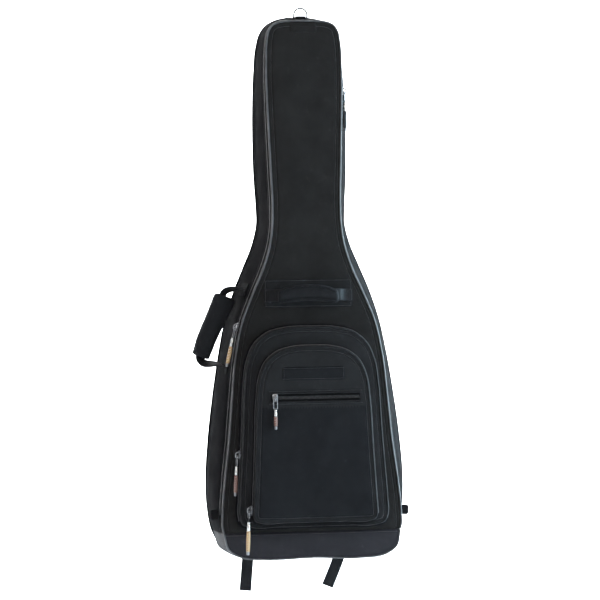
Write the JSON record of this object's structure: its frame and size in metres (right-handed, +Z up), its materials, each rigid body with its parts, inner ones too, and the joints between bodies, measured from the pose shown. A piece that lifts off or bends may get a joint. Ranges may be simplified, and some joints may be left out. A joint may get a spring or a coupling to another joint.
{
  "type": "padded gig bag",
  "caption": "Black padded gig bag for an electric guitar: fold-down zipped front, stacked front pockets, front and side handles, hanging ring and backpack straps.",
  "frame": {"origin": "the seat of the hanging ring, where a hook carries the bag", "axes": "+Z up along the bag from foot to head, the front with its pockets faces -Y, +X to the right seen from the front"},
  "size_m": [0.4299, 0.1812, 1.1766],
  "materials": {
    "nylon": "matte",
    "gusset_nylon": "matte",
    "guard_fabric": "satin",
    "piping": "satin",
    "zip_tape": "matte",
    "foam": "matte",
    "lining": "matte",
    "webbing": "matte",
    "grip": "matte",
    "nickel": "polished",
    "dark_metal": "satin",
    "pull_cord": "satin",
    "label": "matte",
    "buckle": "matte"
  },
  "bodies": {
    "root": {"back_panel": "nylon", "back_foam": "foam", "rear_gusset": "gusset_nylon", "gusset_foam": "foam", "rear_lining": "lining", "main_zip_rear_tape": "zip_tape", "bottom_guard": "guard_fabric", "bottom_foam": "foam", "gusset_piping": "piping", "neck_rest": "foam", "ring_tab": "webbing", "side_handle_anchors": "webbing", "strap_yoke": "nylon", "lower_strap_anchors": "webbing", "zip_end_tabs": "webbing"},
    "neck_strap": {"neck_strap": "webbing"},
    "hanging_ring": {"hanging_ring": "nickel"},
    "side_handle": {"side_handle_grip": "grip", "side_handle_webbing": "webbing"},
    "front_flap": {"front_panel": "nylon", "front_foam": "foam", "front_lining": "lining", "front_gusset": "gusset_nylon", "main_zip_front_tape": "zip_tape", "front_piping": "piping", "top_patch": "nylon", "front_handle_patch": "nylon", "large_pocket_rear_gusset": "gusset_nylon", "large_pocket_rear_tape": "zip_tape"},
    "front_handle": {"front_handle_webbing": "webbing", "front_handle_grip": "grip"},
    "large_pocket": {"large_pocket_front_tape": "zip_tape", "large_pocket_front_gusset": "gusset_nylon", "large_pocket_panel": "nylon", "small_pocket_rear_gusset": "gusset_nylon", "small_pocket_rear_tape": "zip_tape"},
    "small_pocket": {"small_pocket_front_tape": "zip_tape", "small_pocket_front_gusset": "gusset_nylon", "small_pocket_panel": "nylon", "flat_pocket_zip": "zip_tape", "blank_label": "label"},
    "main_left_slider": {"main_left_slider": "dark_metal"},
    "main_left_pull": {"main_left_pull": "pull_cord"},
    "main_right_slider": {"main_right_slider": "dark_metal"},
    "main_right_pull": {"main_right_pull": "pull_cord"},
    "large_pocket_slider": {"large_pocket_slider": "dark_metal"},
    "large_pocket_pull": {"large_pocket_pull": "pull_cord"},
    "small_pocket_slider": {"small_pocket_slider": "dark_metal"},
    "small_pocket_pull_ring": {"small_pocket_pull_ring": "nickel"},
    "small_pocket_pull": {"small_pocket_pull": "pull_cord"},
    "flat_pocket_slider": {"flat_pocket_slider": "dark_metal"},
    "flat_pocket_pull": {"flat_pocket_pull": "pull_cord"},
    "left_strap": {"left_strap_pad": "grip", "left_ladder_lock": "buckle"},
    "left_lower_webbing": {"left_lower_webbing": "webbing"},
    "left_strap_tail": {"left_strap_tail": "webbing"},
    "right_strap": {"right_strap_pad": "grip", "right_ladder_lock": "buckle"},
    "right_lower_webbing": {"right_lower_webbing": "webbing"},
    "right_strap_tail": {"right_strap_tail": "webbing"}
  },
  "joints": [
    {"name": "front_flap_open", "type": "hinge", "parent": "root", "child": "front_flap", "pos_m": [0, -0.05386, -1.044], "axis": [1, 0, 0], "range_deg": [0, 85]},
    {"name": "large_pocket_open", "type": "hinge", "parent": "front_flap", "child": "large_pocket", "pos_m": [0, -0.07191, -1.03688], "axis": [1, 0, 0], "range_deg": [0, 28]},
    {"name": "small_pocket_open", "type": "hinge", "parent": "large_pocket", "child": "small_pocket", "pos_m": [0, -0.09807, -1.02532], "axis": [1, 0, 0], "range_deg": [0, 22]},
    {"name": "main_left_slider_travel", "type": "hinge", "parent": "root", "child": "main_left_slider", "pos_m": [0.66354, -0.03041, -0.82788], "axis": [0, -0.9999, 0.0172], "range_deg": [-1, 10]},
    {"name": "main_right_slider_travel", "type": "slide", "parent": "root", "child": "main_right_slider", "axis": [-0.0275, -0.0172, -0.9995], "range_m": [-0.02, 0.15]},
    {"name": "large_pocket_slider_travel", "type": "slide", "parent": "front_flap", "child": "large_pocket_slider", "axis": [0.0624, 0.0212, 0.9978], "range_m": [-0.1, 0.1]},
    {"name": "small_pocket_slider_travel", "type": "slide", "parent": "large_pocket", "child": "small_pocket_slider", "axis": [0.0465, 0.0212, 0.9987], "range_m": [0, 0.2]},
    {"name": "flat_pocket_slider_travel", "type": "slide", "parent": "small_pocket", "child": "flat_pocket_slider", "axis": [1, 0, 0], "range_m": [0, 0.155]},
    {"name": "main_left_pull_swing", "type": "hinge", "parent": "main_left_slider", "child": "main_left_pull", "pos_m": [-0.14546, -0.02887, -0.63645], "axis": [-0.2395, 0.9701, 0.0391], "range_deg": [0, 120]},
    {"name": "main_right_pull_swing", "type": "hinge", "parent": "main_right_slider", "child": "main_right_pull", "pos_m": [0.08402, -0.02047, -0.16809], "axis": [-0.1951, -0.9806, 0.0172], "range_deg": [0, 120]},
    {"name": "large_pocket_pull_swing", "type": "hinge", "parent": "large_pocket_slider", "child": "large_pocket_pull", "pos_m": [-0.15029, -0.07026, -0.88905], "axis": [-0.2087, 0.9779, -0.0077], "range_deg": [0, 120]},
    {"name": "small_pocket_ring_swing", "type": "hinge", "parent": "small_pocket_slider", "child": "small_pocket_pull_ring", "pos_m": [-0.13201, -0.09973, -0.99656], "axis": [-0.2949, 0.9555, -0.0073], "range_deg": [0, 100]},
    {"name": "small_pocket_pull_plumb", "type": "hinge", "parent": "small_pocket_pull_ring", "child": "small_pocket_pull", "pos_m": [-0.1326, -0.10002, -1.01004], "axis": [1, 0, 0], "range_deg": [-96, 20]},
    {"name": "flat_pocket_pull_swing", "type": "hinge", "parent": "flat_pocket_slider", "child": "flat_pocket_pull", "pos_m": [-0.078, -0.11302, -0.77755], "axis": [-1, 0, 0], "range_deg": [0, 110]},
    {"name": "front_handle_lift", "type": "hinge", "parent": "front_flap", "child": "front_handle", "pos_m": [0, -0.04891, -0.57476], "axis": [1, 0, 0], "range_deg": [-30, 30]},
    {"name": "side_handle_swing", "type": "hinge", "parent": "root", "child": "side_handle", "pos_m": [-0.17046, 0.00106, -0.71476], "axis": [0.2541, 0.0079, 0.9672], "range_deg": [-10, 10]},
    {"name": "ring_tilt", "type": "hinge", "parent": "root", "child": "hanging_ring", "pos_m": [0, 0, -0.018], "axis": [1, 0, 0], "range_deg": [-60, 60]},
    {"name": "neck_strap_swing", "type": "hinge", "parent": "root", "child": "neck_strap", "pos_m": [0.038, -0.0046, -0.366], "axis": [0, 1, 0], "range_deg": [0, 75]},
    {"name": "left_strap_swing", "type": "hinge", "parent": "root", "child": "left_strap", "pos_m": [-0.042, 0.054, -0.492], "axis": [1, 0, 0], "range_deg": [0, 8]},
    {"name": "left_lower_webbing_swing", "type": "hinge", "parent": "root", "child": "left_lower_webbing", "pos_m": [-0.143, 0.0536, -1.037], "axis": [1, 0, 0], "range_deg": [-24, 0]},
    {"name": "left_strap_tail_swing", "type": "hinge", "parent": "left_strap", "child": "left_strap_tail", "pos_m": [-0.097, 0.0624, -0.88], "axis": [1, 0, 0], "range_deg": [0, 45]},
    {"name": "right_strap_swing", "type": "hinge", "parent": "root", "child": "right_strap", "pos_m": [0.042, 0.054, -0.492], "axis": [1, 0, 0], "range_deg": [0, 8]},
    {"name": "right_lower_webbing_swing", "type": "hinge", "parent": "root", "child": "right_lower_webbing", "pos_m": [0.143, 0.0536, -1.037], "axis": [1, 0, 0], "range_deg": [-24, 0]},
    {"name": "right_strap_tail_swing", "type": "hinge", "parent": "right_strap", "child": "right_strap_tail", "pos_m": [0.097, 0.0624, -0.88], "axis": [1, 0, 0], "range_deg": [0, 45]}
  ],
  "couplings": [
    {"joint": "small_pocket_pull_plumb", "follows": "front_flap_open", "ratio": -1},
    {"joint": "left_lower_webbing_swing", "follows": "left_strap_swing", "ratio": -2.8},
    {"joint": "right_lower_webbing_swing", "follows": "right_strap_swing", "ratio": -2.8}
  ]
}
